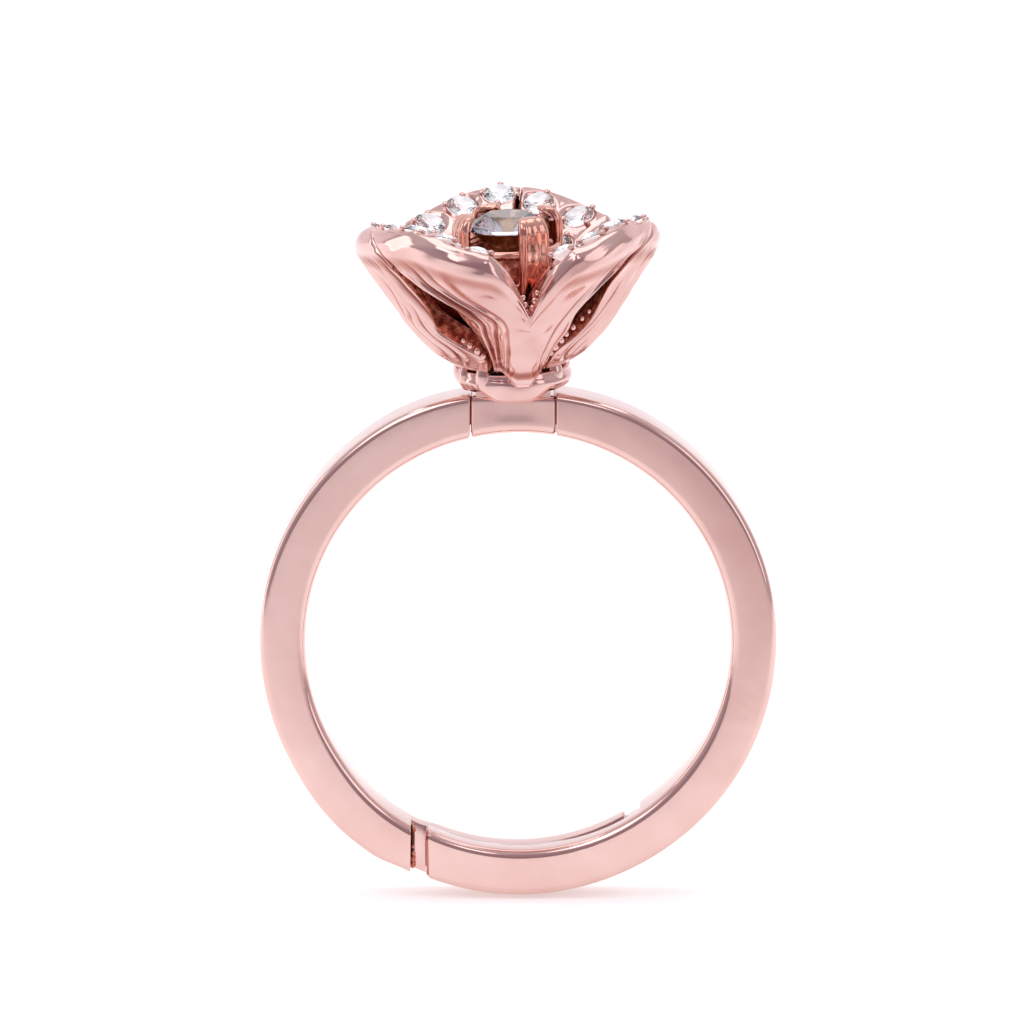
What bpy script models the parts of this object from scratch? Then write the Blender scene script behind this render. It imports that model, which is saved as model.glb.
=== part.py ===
"""Adjustable cocktail ring with a three-petal pave flower head. Metres, +Z up.

The origin is the centre of the finger hole, the flower stands at +Z and the finger lies along Y.
"""

import math

import bmesh
import bpy
from mathutils import Euler, Matrix, Vector

MM = 0.001

# Shank
BORE_R = 8.65 * MM
BAND_R = 10.52 * MM
BAND_HALF_W = 1.50 * MM
BAND_CORNER = 0.35 * MM
SEAM_LEFT_X = -1.96 * MM
SEAM_RIGHT_X = 1.44 * MM
SEAM_GAP = 0.06 * MM
HINGE_Z = 10.05 * MM
LEFT_SPLAY_DEG = 0.7
LAP_LEFT_X = -4.25 * MM
LAP_LEFT_TIP_X = -3.87 * MM
LAP_RIGHT_X = 4.95 * MM
LAP_RIGHT_TIP_X = 4.59 * MM
LAP_HALF_GAP = 0.035 * MM
BRIDGE_TOP_Z = 10.20 * MM

# Flower frame
FLOWER_X = -0.33 * MM
FLOWER_Z = 11.0 * MM
FLOWER_PITCH_DEG = 4.0
FLOWER_LEAN_DEG = -1.7
PETAL_AXES_DEG = {"petal_front": 280.0, "petal_back_left": 148.0, "petal_back_right": 32.0}
PETAL_STEPS = 24

# Setting and stones
CENTER_STONE_R = 1.60 * MM
CENTER_GIRDLE_Z = 6.12 * MM
SETTING_SHIFT_X = 0.04 * MM
COLLAR_SHIFT_X = 0.10 * MM
CLAW_AXES_DEG = (30.0, 116.0, 200.0, 300.0)
# Seats of the small stones: stone radius, distance from the flower axis (mm), angle from the petal axis.
PAVE_SEATS = {
    "petal_front": (
        (0.62, 5.00, -71.0), (0.62, 5.00, -55.3), (0.62, 5.00, -39.8), (0.62, 5.00, -24.4),
        (0.62, 5.00, 18.4), (0.62, 5.00, 33.2), (0.62, 5.05, 47.8), (0.62, 5.15, 62.2),
        (0.54, 3.48, -52.0), (0.54, 3.48, -28.0), (0.54, 3.48, 30.0),
    ),
    "petal_back_left": (
        (0.62, 5.00, 42.4), (0.62, 5.00, 26.0), (0.67, 5.00, -18.8), (0.67, 5.00, -36.6),
        (0.67, 5.00, -54.4), (0.54, 3.48, -45.0), (0.54, 3.48, -21.5), (0.54, 3.48, 20.5),
        (0.54, 3.48, 41.8), (0.36, 4.28, 34.2),
    ),
    "petal_back_right": (
        (0.62, 5.20, -32.6), (0.62, 5.05, -17.0), (0.67, 5.00, 22.4), (0.67, 4.75, 42.2),
        (0.54, 3.48, -30.0), (0.54, 3.48, 19.5), (0.54, 3.48, 40.8), (0.40, 4.24, 32.0),
        (0.36, 4.28, -24.4),
    ),
}
SEAT_GAP = 0.05 * MM


def clear_scene():
    for old in list(bpy.data.objects):
        bpy.data.objects.remove(old, do_unlink=True)


def plated_metal(name, colour, roughness):
    mat = bpy.data.materials.new(name)
    mat.use_nodes = True
    shader = mat.node_tree.nodes["Principled BSDF"]
    shader.inputs["Base Color"].default_value = (*colour, 1.0)
    shader.inputs["Metallic"].default_value = 1.0
    shader.inputs["Roughness"].default_value = roughness
    return mat


def crystal(name, colour):
    mat = bpy.data.materials.new(name)
    mat.use_nodes = True
    shader = mat.node_tree.nodes["Principled BSDF"]
    shader.inputs["Base Color"].default_value = (*colour, 1.0)
    shader.inputs["Metallic"].default_value = 0.0
    shader.inputs["Roughness"].default_value = 0.02
    return mat


def mesh_object(name, verts, faces, material=None, smooth_deg=None):
    mesh = bpy.data.meshes.new(name)
    mesh.from_pydata([tuple(v) for v in verts], [], faces)
    bm = bmesh.new()
    bm.from_mesh(mesh)
    bmesh.ops.remove_doubles(bm, verts=bm.verts, dist=1e-7)
    bmesh.ops.recalc_face_normals(bm, faces=bm.faces)
    bm.to_mesh(mesh)
    bm.free()
    obj = bpy.data.objects.new(name, mesh)
    bpy.context.scene.collection.objects.link(obj)
    if material is not None:
        mesh.materials.append(material)
    if smooth_deg is not None:
        mesh.shade_smooth()
        mesh.set_sharp_from_angle(angle=math.radians(smooth_deg))
    return obj


def loops_to_solid(loops, closed):
    """Faces that join equal rings of points in order, capped at both ends unless closed."""
    count = len(loops[0])
    faces = []
    pairs = len(loops) if closed else len(loops) - 1
    for i in range(pairs):
        a = i * count
        b = (i + 1) % len(loops) * count
        for k in range(count):
            n = (k + 1) % count
            faces.append((a + k, a + n, b + n, b + k))
    if not closed:
        faces.append(tuple(range(count)))
        last = (len(loops) - 1) * count
        faces.append(tuple(last + k for k in reversed(range(count))))
    return faces


def boolean(target, others, operation):
    """Applies exact booleans to target and removes the helpers."""
    for other in others:
        other.hide_render = True
        other.display_type = "WIRE"
        step = target.modifiers.new(operation.lower(), "BOOLEAN")
        step.operation = operation
        step.solver = "EXACT"
        step.object = other
    graph = bpy.context.evaluated_depsgraph_get()
    made = bpy.data.meshes.new_from_object(target.evaluated_get(graph))
    target.modifiers.clear()
    target.data = made
    for other in others:
        bpy.data.objects.remove(other, do_unlink=True)


def box(name, low, high):
    corners = [(x, y, z) for x in (low[0], high[0]) for y in (low[1], high[1]) for z in (low[2], high[2])]
    sides = [(0, 1, 3, 2), (4, 6, 7, 5), (0, 4, 5, 1), (2, 3, 7, 6), (0, 2, 6, 4), (1, 5, 7, 3)]
    return mesh_object(name, corners, sides)


def lathe(name, profile, sides, material=None, smooth_deg=None):
    """Closed body of revolution about Z from a list of (radius, z)."""
    verts = []
    for r, z in profile:
        for k in range(sides):
            a = math.tau * k / sides
            verts.append((r * math.cos(a), r * math.sin(a), z))
    loops = [verts[i * sides:(i + 1) * sides] for i in range(len(profile))]
    return mesh_object(name, verts, loops_to_solid(loops, False), material, smooth_deg)


def smoothstep(low, high, x):
    t = min(max((x - low) / (high - low), 0.0), 1.0)
    return t * t * (3.0 - 2.0 * t)


def band_section(r_in, r_out, half_w, corner):
    """Rounded rectangle in (radius, y), eased harder on the bore side for comfort."""
    points = []
    corners = (
        (r_out - corner, half_w - corner, 0.0),
        (r_in + corner, half_w - corner, 90.0),
        (r_in + corner, -half_w + corner, 180.0),
        (r_out - corner, -half_w + corner, 270.0),
    )
    for r, y, start in corners:
        for k in range(4):
            a = math.radians(start + 30.0 * k)
            points.append((r + corner * math.cos(a), y + corner * math.sin(a)))
    return points


def band_sweep(name, start_deg, end_deg, steps, bulge_end, material=None):
    """Sweeps the band section round the bore; bulge_end opens the far end outward."""
    loops = []
    for i in range(steps + 1):
        deg = start_deg + (end_deg - start_deg) * i / steps
        near_head = smoothstep(32.0, 4.0, abs(deg - 90.0))
        from_head = abs(deg - 90.0)
        opened = bulge_end * (smoothstep(118.0, 144.0, from_head) - smoothstep(149.5, 157.0, from_head))
        r_in = BORE_R + opened
        r_out = BAND_R - 0.12 * MM * near_head + opened
        a = math.radians(deg)
        section = band_section(r_in, r_out, BAND_HALF_W, BAND_CORNER)
        loops.append([(r * math.cos(a), y, r * math.sin(a)) for r, y in section])
    verts = [v for loop in loops for v in loop]
    return mesh_object(name, verts, loops_to_solid(loops, False), material)


def hinge_object(obj, x, z):
    """Puts the origin of obj on the hinge line that runs along Y at (x, z)."""
    obj.data.transform(Matrix.Translation((-x, 0.0, -z)))
    obj.location = (x, 0.0, z)


def finish_band(obj):
    obj.data.shade_smooth()
    obj.data.set_sharp_from_angle(angle=math.radians(50.0))


def make_arms(metal):
    far = 20.0 * MM
    lap = LAP_HALF_GAP
    left = band_sweep("shank_left_arm", 99.0, 300.0, 40, 0.13 * MM, metal)
    boolean(left, [
        box("cut_seam", (SEAM_LEFT_X - SEAM_GAP, -far, 0.0), (far, far, far)),
        box("cut_front", (LAP_LEFT_X, -far, -far), (far, lap, 0.0)),
        box("cut_tip", (LAP_RIGHT_TIP_X, -far, -far), (far, far, 0.0)),
    ], "DIFFERENCE")
    finish_band(left)
    hinge_object(left, SEAM_LEFT_X, HINGE_Z)
    left.rotation_euler = (0.0, math.radians(LEFT_SPLAY_DEG), 0.0)

    right = band_sweep("shank_right_arm", 82.0, -118.0, 38, 0.0, metal)
    boolean(right, [
        box("cut_seam", (-far, -far, 0.0), (SEAM_RIGHT_X + SEAM_GAP, far, far)),
        box("cut_rear", (-far, -lap, -far), (LAP_RIGHT_X, far, 0.0)),
        box("cut_tip", (-far, -far, -far), (LAP_LEFT_TIP_X, far, 0.0)),
    ], "DIFFERENCE")
    finish_band(right)
    hinge_object(right, SEAM_RIGHT_X, HINGE_Z)


def make_bridge(metal):
    far = 20.0 * MM
    bridge = band_sweep("head_bridge", 105.0, 78.0, 10, 0.0, metal)
    boolean(bridge, [
        box("cut_left", (-far, -far, -far), (SEAM_LEFT_X, far, far)),
        box("cut_right", (SEAM_RIGHT_X, -far, -far), (far, far, far)),
        box("cut_top", (-far, -far, BRIDGE_TOP_Z), (far, far, far)),
    ], "DIFFERENCE")
    finish_band(bridge)


# Petal sections as (radius, height above the flower origin) in mm, base to rim.
UNDERSIDE = (
    (2.05, 0.40), (2.15, 0.40), (2.32, 0.45), (2.72, 0.70), (3.38, 1.28), (4.25, 2.32),
    (4.85, 3.10), (5.45, 3.92), (6.04, 4.56), (6.06, 5.06), (5.94, 5.48),
)
DECK = (
    (1.25, 0.45), (1.32, 0.85), (1.50, 1.55), (1.85, 2.40), (2.30, 3.20), (2.75, 3.85),
    (3.45, 4.55), (4.25, 5.10), (5.00, 5.48), (5.42, 5.63), (5.70, 5.68),
)
UNDERSIDE_NOTCH = (
    (2.05, 0.40), (2.15, 0.40), (2.32, 0.45), (2.72, 0.70), (3.38, 1.28), (4.10, 2.12),
    (4.45, 2.56), (4.62, 2.76), (4.72, 2.88), (4.79, 2.99), (4.79, 3.13),
)
DECK_NOTCH = (
    (1.25, 0.45), (1.32, 0.85), (1.50, 1.45), (1.75, 2.00), (2.10, 2.45), (2.50, 2.82),
    (2.90, 3.05), (3.40, 3.20), (3.90, 3.28), (4.30, 3.29), (4.60, 3.24),
)
KEEL = ((2.42, 0.30), (2.54, 0.00), (2.78, -0.08), (3.04, 0.22), (3.52, 1.10), (4.28, 2.29))
# How far each petal reaches to either side of its axis, in degrees, base to rim.
PETAL_EDGES = {
    "petal_front": (
        (30, 30, 28, 26, 24.6, 25.7, 30, 58, 68, 75, 80),
        (23.5, 23.5, 21.5, 18, 16.6, 22, 25.7, 36.5, 50.5, 62.5, 70),
    ),
    "petal_back_left": (
        (57, 57, 57, 57, 57, 57, 57.5, 58, 60, 63, 63.8),
        (99, 99, 102, 105, 106, 84, 82, 73.2, 63.2, 56.2, 51.2),
    ),
    "petal_back_right": (
        (86.5, 86.5, 88.5, 91.5, 92.8, 82, 77, 73.2, 59.2, 48.2, 41.2),
        (57, 57, 57, 57, 57, 57, 56.5, 56, 54, 52, 51.8),
    ),
}
NOTCH_HALF_DEG = {"petal_front": 18.0, "petal_back_left": 12.0, "petal_back_right": 12.0}
KEEL_WEIGHT = {"petal_front": 1.0, "petal_back_left": 0.2, "petal_back_right": 0.2}


def blend(a, b, t):
    return a + (b - a) * t


def petal_edge(name, side, k, is_deck):
    edges = PETAL_EDGES[name][0 if side < 0.0 else 1]
    if not is_deck:
        return edges[k]
    return blend(edges[k], edges[-1], smoothstep(2.0, 6.0, k))


def petal_lift(angle_deg):
    """Lift of the rim, and swing of its lobes, at an angle round the flower."""
    off = min(abs((angle_deg - axis + 180.0) % 360.0 - 180.0) for axis in PETAL_AXES_DEG.values())
    s = math.sin(math.radians(angle_deg))
    seam = 0.80 + 0.12 * max(0.0, s)
    lift = blend(-0.05, seam, smoothstep(10.0, 53.0, off)) + 0.30 * smoothstep(0.25, 0.75, -s)
    lobe = 0.024 * math.cos(math.radians((min(off, 60.0) - 30.0) * 6.0))
    return lift, lobe


def petal_section(name, side):
    """Points of one radial cut of a petal; side runs from -1 to 1 across it."""
    rows = []
    for sheet, notched in ((UNDERSIDE, UNDERSIDE_NOTCH), (DECK, DECK_NOTCH)):
        is_deck = sheet is DECK
        row = []
        for k, (r, z) in enumerate(sheet):
            psi = abs(side) * petal_edge(name, side, k, is_deck)
            signed = math.copysign(psi, side)
            lift, lobe = petal_lift(PETAL_AXES_DEG[name] + signed)
            notch = max(0.0, 1.0 - psi / NOTCH_HALF_DEG[name]) ** 1.6
            keel = KEEL_WEIGHT[name] * (1.0 - smoothstep(4.0, 21.0, psi))
            high = smoothstep(2.0, 5.4, z)
            if not is_deck and k < len(KEEL):
                r = blend(r, KEEL[k][0], keel)
                z = blend(z, KEEL[k][1], keel)
            r *= 1.0 + lobe * high
            z += lift * high
            if k > 5 or is_deck:
                r = blend(r, notched[k][0], notch)
                z = blend(z, notched[k][1], notch)
            row.append((r * MM, z * MM, signed))
        rows.append(row)
    return rows


def petal_deck_point(name, radius_mm, psi_deg):
    """Height and outward tilt of the deck where a stone sits."""
    reach = petal_edge(name, psi_deg, len(DECK) - 1, True)
    deck = petal_section(name, psi_deg / reach)[1]
    for (r0, z0, _), (r1, z1, _) in zip(deck, deck[1:]):
        if r0 <= radius_mm * MM <= r1:
            t = (radius_mm * MM - r0) / (r1 - r0)
            return blend(z0, z1, t), math.atan2(z1 - z0, r1 - r0)
    return deck[-1][1], 0.0


def pave_seats(name):
    """Number, stone radius, distance from the flower axis in mm and angle of each small stone."""
    seats = []
    for i, (stone_r, radius, psi) in enumerate(PAVE_SEATS[name]):
        seats.append((str(i + 1), stone_r * MM, radius, psi))
    return seats


def cone_frustum(name, r_low, r_high, z_low, z_high, sides):
    return lathe(name, ((r_low, z_low), (r_high, z_high)), sides)


def make_petal(name, frame, metal):
    axis = PETAL_AXES_DEG[name]
    count = len(UNDERSIDE)
    verts = []
    steps = PETAL_STEPS
    for j in range(steps + 1):
        side = -1.0 + 2.0 * j / steps
        for row in petal_section(name, side):
            for r, z, turn in row:
                a = math.radians(axis + turn)
                verts.append((r * math.cos(a), r * math.sin(a), z))
    stride = 2 * count
    faces = []
    for j in range(steps):
        a = j * stride
        b = a + stride
        for k in range(count - 1):
            faces.append((a + k, a + k + 1, b + k + 1, b + k))
            faces.append((a + count + k + 1, a + count + k, b + count + k, b + count + k + 1))
        faces.append((a + count - 1, a + stride - 1, b + stride - 1, b + count - 1))
        faces.append((a + count, a, b, b + count))
    for a in (0, steps * stride):
        for k in range(count - 1):
            faces.append((a + k, a + count + k, a + count + k + 1, a + k + 1))
    petal = mesh_object(name, verts, faces, metal)
    cutters = []
    for number, stone_r, radius, psi in pave_seats(name):
        z, slope = petal_deck_point(name, radius, psi)
        seat = cone_frustum("seat_" + number, 0.16 * MM, stone_r + 2.0 * SEAT_GAP, -0.52 * MM, 0.12 * MM, 8)
        place_on_deck(seat, frame, axis, radius, psi, z, slope)
        cutters.append(seat)
    petal.matrix_world = frame
    bpy.context.view_layer.update()
    boolean(petal, cutters, "DIFFERENCE")
    petal.data.shade_smooth()
    petal.data.set_sharp_from_angle(angle=math.radians(48.0))


def place_on_deck(obj, frame, axis, radius_mm, psi_deg, z, slope):
    a = math.radians(axis + psi_deg)
    spot = Matrix.Translation((radius_mm * MM * math.cos(a), radius_mm * MM * math.sin(a), z))
    turn = Matrix.Rotation(a, 4, "Z") @ Matrix.Rotation(-slope, 4, "Y")
    obj.matrix_world = frame @ spot @ turn


def brilliant(name, radius, crown, pavilion, sides, material):
    """Round brilliant with table, crown, girdle band and pavilion; the girdle top is at z = 0."""
    girdle = 0.07 * radius
    rings = (
        (0.10 * radius, -girdle - pavilion, 0.0),
        (radius, -girdle, 0.0),
        (radius, 0.0, 0.0),
        (0.80 * radius, 0.55 * crown, 0.5),
        (0.55 * radius, crown, 0.0),
    )
    verts = []
    for r, z, offset in rings:
        for k in range(sides):
            a = math.tau * (k + offset) / sides
            verts.append((r * math.cos(a), r * math.sin(a), z))
    loops = [verts[i * sides:(i + 1) * sides] for i in range(len(rings))]
    return mesh_object(name, verts, loops_to_solid(loops, False), material)


def make_pave(petal, frame, material):
    for number, stone_r, radius, psi in pave_seats(petal):
        z, slope = petal_deck_point(petal, radius, psi)
        name = petal.replace("petal", "stone") + "_" + number
        stone = brilliant(name, stone_r, 0.22 * MM, 0.36 * MM, 8, material)
        place_on_deck(stone, frame, PETAL_AXES_DEG[petal], radius, psi, z + 0.02 * MM, slope)


def make_collar(frame, metal):
    profile = (
        (1.60, -0.55), (2.30, -0.55), (2.42, -0.46), (2.40, -0.25), (2.30, 0.00), (2.26, 0.22),
        (2.20, 0.34), (0.60, 0.34),
    )
    collar = lathe("petal_collar", [(r * MM, z * MM) for r, z in profile], 32, metal, 40.0)
    collar.matrix_world = frame @ Matrix.Translation((COLLAR_SHIFT_X, 0.0, 0.0))


def claw(index, angle_deg):
    """One grooved claw that rises from the cup and folds over the crown."""
    path = (
        # radius to the middle, height, half thickness, half width, lean of the section in degrees
        (1.15, 2.30, 0.26, 0.45, 24.0), (1.62, 3.25, 0.28, 0.58, 22.0), (1.93, 4.25, 0.27, 0.66, 14.0),
        (2.03, 5.15, 0.25, 0.68, 3.0), (2.04, 5.90, 0.25, 0.67, -4.0), (1.99, 6.28, 0.24, 0.63, -24.0),
        (1.81, 6.52, 0.18, 0.53, -58.0), (1.59, 6.60, 0.10, 0.38, -80.0),
    )
    loops = []
    for r, z, thick, wide, lean in path:
        a = math.radians(lean)
        out = Vector((math.cos(a), 0.0, -math.sin(a)))
        centre = Vector((r, 0.0, z))
        ring = []
        for y, t in ((-1.0, -0.9), (1.0, -0.9), (1.0, 0.55), (0.55, 1.0), (0.0, 0.45), (-0.55, 1.0), (-1.0, 0.55)):
            point = centre + out * (thick * t) + Vector((0.0, wide * y, 0.0))
            ring.append(point * MM)
        loops.append(ring)
    verts = [v for loop in loops for v in loop]
    obj = mesh_object("claw_" + str(index), verts, loops_to_solid(loops, False))
    obj.data.transform(Matrix.Rotation(math.radians(angle_deg), 4, "Z"))
    return obj


def torus(name, ring_r, wire_r, z, sides, wire_sides):
    loops = []
    for i in range(sides):
        a = math.tau * i / sides
        ring = []
        for k in range(wire_sides):
            b = math.tau * k / wire_sides
            r = ring_r + wire_r * math.cos(b)
            ring.append((r * math.cos(a), r * math.sin(a), z + wire_r * math.sin(b)))
        loops.append(ring)
    verts = [v for loop in loops for v in loop]
    return mesh_object(name, verts, loops_to_solid(loops, True))


def make_setting(frame, metal):
    """Peg, cup, gallery wire and four claws as one casting."""
    cup = [(0.78, 0.42), (0.82, 1.20), (0.98, 2.10), (1.32, 2.90), (1.46, 3.30), (1.30, 3.34), (0.45, 2.60)]
    setting = lathe("claw_setting", [(r * MM, z * MM) for r, z in cup], 24, metal)
    parts = [claw(i, a) for i, a in enumerate(CLAW_AXES_DEG)]
    parts.append(torus("gallery", 1.95 * MM, 0.20 * MM, 5.20 * MM, 32, 8))
    boolean(setting, parts, "UNION")
    setting.data.shade_smooth()
    setting.data.set_sharp_from_angle(angle=math.radians(42.0))
    setting.matrix_world = frame @ Matrix.Translation((SETTING_SHIFT_X, 0.0, 0.0))


def make_center_stone(frame, material):
    stone = brilliant("center_stone", CENTER_STONE_R, 0.48 * MM, 1.05 * MM, 16, material)
    stone.matrix_world = frame @ Matrix.Translation((SETTING_SHIFT_X, 0.0, CENTER_GIRDLE_Z))


def build():
    clear_scene()
    lean = Euler((math.radians(FLOWER_PITCH_DEG), math.radians(FLOWER_LEAN_DEG), 0.0)).to_matrix().to_4x4()
    frame = Matrix.Translation((FLOWER_X, 0.0, FLOWER_Z)) @ lean
    band_metal = plated_metal("rose_gold_polished", (0.83, 0.50, 0.43), 0.14)
    petal_metal = plated_metal("rose_gold_petal", (0.82, 0.48, 0.41), 0.18)
    claw_metal = plated_metal("rose_gold_claw", (0.85, 0.54, 0.46), 0.12)
    clear_stone = crystal("clear_crystal", (0.94, 0.93, 0.95))
    foil_stone = crystal("foiled_crystal", (0.86, 0.82, 0.84))
    make_arms(band_metal)
    make_bridge(band_metal)
    make_collar(frame, petal_metal)
    for name in PETAL_AXES_DEG:
        make_petal(name, frame, petal_metal)
        make_pave(name, frame, clear_stone)
    make_setting(frame, claw_metal)
    make_center_stone(frame, foil_stone)


build()
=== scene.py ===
"""Looks for the adjustable cocktail ring: meshes, materials, light and camera, round the frame."""

import math

import bpy
import numpy as np
from mathutils import Euler, Matrix, Vector


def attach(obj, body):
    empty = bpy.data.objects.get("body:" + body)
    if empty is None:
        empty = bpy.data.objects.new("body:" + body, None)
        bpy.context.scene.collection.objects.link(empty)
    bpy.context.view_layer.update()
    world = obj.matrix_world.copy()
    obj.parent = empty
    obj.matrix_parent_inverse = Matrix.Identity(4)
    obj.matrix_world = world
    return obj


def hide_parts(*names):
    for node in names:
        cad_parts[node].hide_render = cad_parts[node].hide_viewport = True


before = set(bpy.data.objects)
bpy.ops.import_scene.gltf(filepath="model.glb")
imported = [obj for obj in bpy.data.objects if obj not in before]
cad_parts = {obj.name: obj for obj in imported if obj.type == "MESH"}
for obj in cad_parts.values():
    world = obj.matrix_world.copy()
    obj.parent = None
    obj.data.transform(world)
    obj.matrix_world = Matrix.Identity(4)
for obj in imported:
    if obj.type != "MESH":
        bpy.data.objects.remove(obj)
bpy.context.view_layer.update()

MM = 0.001

# Dimensions shared with the frame, in mm.
BORE_R = 8.65
BAND_R = 10.52
BAND_HALF_W = 1.50
BAND_MIDDLE_R = 9.6
ARM_LENGTH = 25.0
SEAM_LEFT_X = -1.96
SEAM_RIGHT_X = 1.44
SEAM_GAP = 0.06
HINGE_Z = 10.05
LEFT_SPLAY_DEG = 0.7
LAP_LEFT_X = -4.25
LAP_LEFT_TIP_X = -3.87
LAP_RIGHT_X = 4.95
LAP_RIGHT_TIP_X = 4.59
LAP_HALF_GAP = 0.035
BRIDGE_TOP_Z = 10.20
FLOWER = Matrix.Translation((-0.33, 0.0, 11.0)) @ Euler(
    (math.radians(4.0), math.radians(-1.7), 0.0)
).to_matrix().to_4x4()
PETAL_AXES_DEG = {"front": 280.0, "back_left": 148.0, "back_right": 32.0}
SETTING_SHIFT_X = 0.04
CENTER_STONE_R = 1.60
CENTER_GIRDLE_Z = 6.12
CLAW_AXES_DEG = (30.0, 116.0, 200.0, 300.0)
COLLAR_SHIFT_X = 0.10
# Small stones: radius, distance from the flower axis and angle from the petal axis.
PAVE_SEATS = {
    "front": (
        (0.62, 5.00, -71.0), (0.62, 5.00, -55.3), (0.62, 5.00, -39.8), (0.62, 5.00, -24.4),
        (0.62, 5.00, 18.4), (0.62, 5.00, 33.2), (0.62, 5.05, 47.8), (0.62, 5.15, 62.2),
        (0.54, 3.48, -52.0), (0.54, 3.48, -28.0), (0.54, 3.48, 30.0),
    ),
    "back_left": (
        (0.62, 5.00, 42.4), (0.62, 5.00, 26.0), (0.67, 5.00, -18.8), (0.67, 5.00, -36.6),
        (0.67, 5.00, -54.4), (0.54, 3.48, -45.0), (0.54, 3.48, -21.5), (0.54, 3.48, 20.5),
        (0.54, 3.48, 41.8), (0.36, 4.28, 34.2),
    ),
    "back_right": (
        (0.62, 5.20, -32.6), (0.62, 5.05, -17.0), (0.67, 5.00, 22.4), (0.67, 4.75, 42.2),
        (0.54, 3.48, -30.0), (0.54, 3.48, 19.5), (0.54, 3.48, 40.8), (0.40, 4.24, 32.0),
        (0.36, 4.28, -24.4),
    ),
}


# ---------------------------------------------------------------- mesh helpers

def moved(verts, matrix):
    m = np.array(matrix)
    return np.asarray(verts, float) @ m[:3, :3].T + m[:3, 3]


def add_mesh(name, verts, faces, material, smooth_deg=35.0, matrix=None):
    """Makes a mesh object from points in mm; edges above smooth_deg stay sharp."""
    points = np.asarray(verts, float)
    if matrix is not None:
        points = moved(points, matrix)
    mesh = bpy.data.meshes.new(name)
    mesh.from_pydata((points * MM).tolist(), [], faces)
    mesh.validate()
    mesh.update()
    mesh.shade_smooth()
    if smooth_deg is not None:
        mesh.set_sharp_from_angle(angle=math.radians(smooth_deg))
    mesh.materials.append(material)
    obj = bpy.data.objects.new(name, mesh)
    bpy.context.scene.collection.objects.link(obj)
    return obj


def ring_faces(rows, columns, closed_rows=False, caps=True):
    """Quads over rows of closed rings of columns points."""
    faces = []
    for i in range(rows if closed_rows else rows - 1):
        a = i * columns
        b = (i + 1) % rows * columns
        for k in range(columns):
            n = (k + 1) % columns
            faces.append((a + n, a + k, b + k, b + n))
    if caps and not closed_rows:
        faces.append(tuple(range(columns)))
        faces.append(tuple((rows - 1) * columns + k for k in reversed(range(columns))))
    return faces


class Pile:
    """Gathers small bodies into one mesh."""

    def __init__(self):
        self.verts = []
        self.faces = []

    def add(self, verts, faces):
        base = len(self.verts)
        self.verts.extend(np.asarray(verts, float).tolist())
        self.faces.extend(tuple(base + i for i in f) for f in faces)

    def add_bead(self, matrix, radius, squash=1.0, sides=14, rings=8):
        verts, faces = bead(radius, squash, sides, rings)
        self.add(moved(verts, matrix), faces)


def lathe(profile, sides):
    """Turns (radius, height) pairs round Z into a closed body."""
    turns = [math.tau * k / sides for k in range(sides)]
    rows = [[(r * math.cos(a), r * math.sin(a), z) for a in turns] for r, z in profile]
    return np.array(rows).reshape(-1, 3), ring_faces(len(profile), sides)


def bead(radius, squash=1.0, sides=14, rings=8):
    profile = []
    for i in range(1, rings):
        a = math.pi * i / rings - math.pi / 2
        profile.append((radius * math.cos(a), radius * squash * math.sin(a)))
    return lathe(profile, sides)


def torus(ring_r, wire_r, z, sides, wire_sides):
    rows = []
    for i in range(sides):
        a = math.tau * i / sides
        for k in range(wire_sides):
            b = -math.tau * k / wire_sides
            r = ring_r + wire_r * math.cos(b)
            rows.append((r * math.cos(a), r * math.sin(a), z + wire_r * math.sin(b)))
    return np.array(rows), ring_faces(sides, wire_sides, closed_rows=True)


def smoothstep(low, high, x):
    t = np.clip((np.asarray(x, float) - low) / (high - low), 0.0, 1.0)
    return t * t * (3.0 - 2.0 * t)


def catmull_rom(a, b, c, d, t):
    return 0.5 * (
        (2 * b) + (c - a) * t + (2 * a - 5 * b + 4 * c - d) * t**2 + (3 * b - a - 3 * c + d) * t**3
    )


def closed_spline(points, per_span):
    """Catmull-Rom through closed loops; points has shape (loops, count, axes)."""
    p0 = np.roll(points, 1, axis=1)
    p2 = np.roll(points, -1, axis=1)
    p3 = np.roll(points, -2, axis=1)
    t = (np.arange(per_span) / per_span)[None, None, :, None]
    a, b, c, d = (q[:, :, None, :] for q in (p0, points, p2, p3))
    return catmull_rom(a, b, c, d, t).reshape(points.shape[0], -1, points.shape[2])


def open_spline(points, per_span):
    """Catmull-Rom through one open line of points."""
    pts = np.asarray(points, float)
    pts = np.vstack([2 * pts[0] - pts[1], pts, 2 * pts[-1] - pts[-2]])
    out = []
    for i in range(1, len(pts) - 2):
        a, b, c, d = pts[i - 1:i + 3]
        out += [catmull_rom(a, b, c, d, s / per_span) for s in range(per_span)]
    out.append(pts[-2])
    return np.array(out)


# ---------------------------------------------------------------- materials

WHITE = (1.0, 1.0, 1.0, 1)
BLACK = (0.0, 0.0, 0.0, 1)
# The colour sockets of a Mix node.
MIX_A = 6
MIX_B = 7
MIX_RESULT = 2
# Noise scales of the plating, and depths in metres of its ripples and polishing lines.
TINT_SCALE = 320.0
GRAIN_SCALE = 1500.0
RIPPLE_SCALE = 420.0
RIPPLE_DEPTH = 0.00006
LINE_SCALE = 5200.0
LINE_STRETCH = (1.0, 7.0, 1.0)
LINE_DEPTH = 0.000006
SPECK_DEPTH = 0.00006


def nodes_of(name):
    mat = bpy.data.materials.new(name)
    mat.use_nodes = True
    tree = mat.node_tree
    return mat, tree, tree.nodes["Principled BSDF"]


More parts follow.
